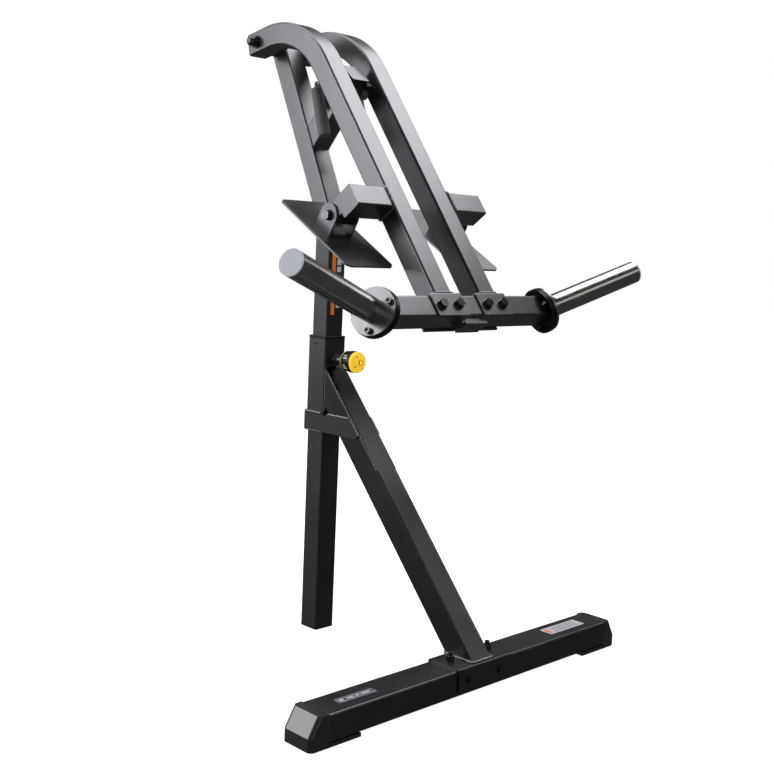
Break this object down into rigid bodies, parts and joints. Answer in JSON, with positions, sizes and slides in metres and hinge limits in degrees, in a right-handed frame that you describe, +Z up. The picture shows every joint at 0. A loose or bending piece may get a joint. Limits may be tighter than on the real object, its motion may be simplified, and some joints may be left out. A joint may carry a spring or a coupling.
{
  "type": "hack squat machine",
  "caption": "Free-standing lever squat machine: T-shaped foot and brace, sliding post with a pop-pin, cranked twin levers with plate horns, tilting shoulder plates and hand grips.",
  "frame": {"origin": "on the floor under the axis of the rear post, on the machine's mirror plane", "axes": "+Z up, +X to the machine's right as seen from the front, -Y to the front where the base crossbar and the shoulder plates are"},
  "size_m": [1.0428, 0.7519, 1.3985],
  "materials": {
    "powder_coat": "satin dark grey powder coat",
    "black_steel": "gloss black oxide",
    "polished_steel": "turned and polished",
    "zinc_steel": "zinc plated",
    "flange_black": "black with a bright machined face",
    "horn_cap": "satin blue-grey disc",
    "cap_plastic": "matte black",
    "knob_ring": "light yellow-green",
    "knob_cap": "yellow",
    "rubber": "dark grey rubber"
  },
  "bodies": {
    "stand": {"base_crossbar": "powder_coat", "base_end_cap_left": "cap_plastic", "base_end_cap_right": "cap_plastic", "brace_saddle": "powder_coat", "saddle_bolts": "black_steel", "saddle_nuts": "black_steel", "brace_tube": "powder_coat", "rear_post": "powder_coat", "post_foot_plug": "cap_plastic", "post_sleeve": "powder_coat", "sleeve_bush": "cap_plastic", "collar_band": "powder_coat", "column_stop": "cap_plastic", "pin_housing": "black_steel", "pin_spring": "zinc_steel"},
    "pop_pin": {"pin_shaft": "zinc_steel", "knob_body": "cap_plastic", "knob_ring": "knob_ring", "knob_cap": "knob_cap"},
    "column": {"inner_column": "powder_coat", "column_glide": "cap_plastic", "mast_tube": "powder_coat", "pivot_barrel": "powder_coat", "pivot_bushes": "cap_plastic", "stop_stud": "zinc_steel", "stop_rollers": "rubber", "grip_arm": "powder_coat", "grip_arm_cap": "powder_coat", "grip_rods": "powder_coat", "hand_grips": "rubber"},
    "lever": {"lever_tube_left": "powder_coat", "lever_tube_right": "powder_coat", "lever_end_plugs": "cap_plastic", "pivot_bolt": "black_steel", "pivot_washers": "black_steel", "pivot_nut": "black_steel", "stop_lugs": "powder_coat", "lever_saddles": "powder_coat", "lever_crossbar": "powder_coat", "crossbar_bolts": "black_steel", "crossbar_nuts": "black_steel", "centre_plate": "powder_coat", "end_flanges": "flange_black", "weight_horn_left": "polished_steel", "weight_horn_right": "polished_steel", "horn_end_caps": "horn_cap", "flange_screws": "black_steel", "flange_nuts": "black_steel", "side_arms": "powder_coat", "pad_pivot_lugs": "powder_coat"},
    "pad_left": {"pad_clevis_left": "powder_coat", "pad_plate_left": "powder_coat", "pad_bolt_left": "black_steel", "pad_screws_left": "black_steel"},
    "pad_right": {"pad_clevis_right": "powder_coat", "pad_plate_right": "powder_coat", "pad_bolt_right": "black_steel", "pad_screws_right": "black_steel"}
  },
  "joints": [
    {"name": "pop_pin_slide", "type": "slide", "parent": "stand", "child": "pop_pin", "axis": [0, 1, 0], "range_m": [0, 0.012], "deforming": ["pin_spring"]},
    {"name": "column_slide", "type": "slide", "parent": "stand", "child": "column", "axis": [0, 0, 1], "range_m": [0, 0.15]},
    {"name": "lever_hinge", "type": "hinge", "parent": "column", "child": "lever", "pos_m": [0, 0.1805, 1.3625], "axis": [-1, 0, 0], "range_deg": [0, 50]},
    {"name": "pad_left_tilt", "type": "hinge", "parent": "lever", "child": "pad_left", "pos_m": [-0.1675, -0.21577, 0.96535], "axis": [1, 0, 0], "range_deg": [-35, 35], "stiffness_Nm_per_rad": 6},
    {"name": "pad_right_tilt", "type": "hinge", "parent": "lever", "child": "pad_right", "pos_m": [0.1675, -0.21577, 0.96535], "axis": [1, 0, 0], "range_deg": [-35, 35], "stiffness_Nm_per_rad": 6}
  ]
}
